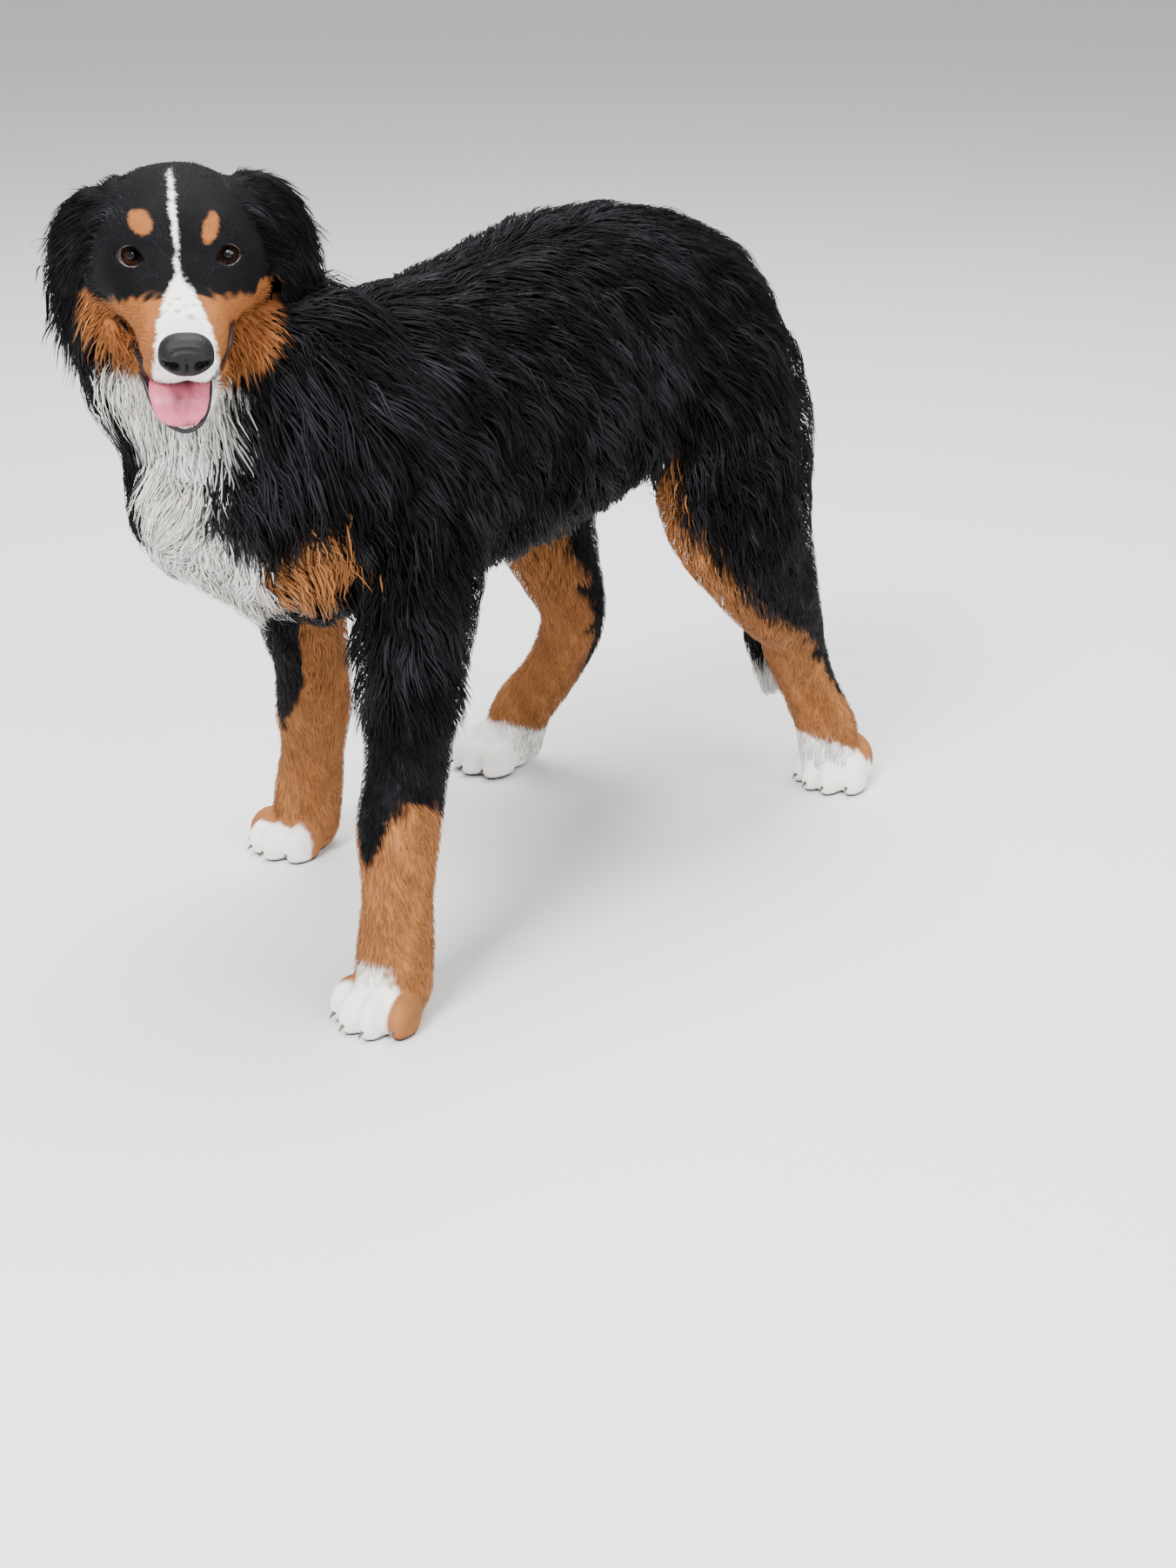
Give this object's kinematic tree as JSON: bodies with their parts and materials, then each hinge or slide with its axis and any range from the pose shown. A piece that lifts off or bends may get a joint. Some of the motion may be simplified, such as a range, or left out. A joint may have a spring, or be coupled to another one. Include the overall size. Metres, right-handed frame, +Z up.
{
  "type": "bernese mountain dog",
  "caption": "Life-size still model of a young Bernese mountain dog, standing with its legs set wide, its head turned to its left and its mouth open, its long coat in overlapping locks.",
  "frame": {"origin": "middle of the whole dog's bounding box, on the floor under the paws", "axes": "+Z up, the dog's body faces -Y, +X is its left side"},
  "size_m": [0.4089, 0.8042, 0.6529],
  "materials": {
    "coat": "long soft hair, black with tan and white markings",
    "white_coat": "short white hair",
    "nose": "moist, finely pebbled",
    "tongue": "wet and soft",
    "eye": "wet, clear"
  },
  "bodies": {
    "root": {"head": "coat", "lower_jaw": "coat", "neck": "coat", "torso": "coat", "tail": "coat", "foreleg_left": "coat", "foreleg_right": "coat", "thigh_left": "coat", "thigh_right": "coat", "hind_leg_left": "coat", "hind_leg_right": "coat", "ear_left": "coat", "ear_right": "coat", "paw_fore_left": "white_coat", "paw_fore_right": "white_coat", "paw_hind_left": "white_coat", "paw_hind_right": "white_coat", "nose": "nose", "tongue": "tongue", "eye_left": "eye", "eye_right": "eye"}
  },
  "joints": []
}
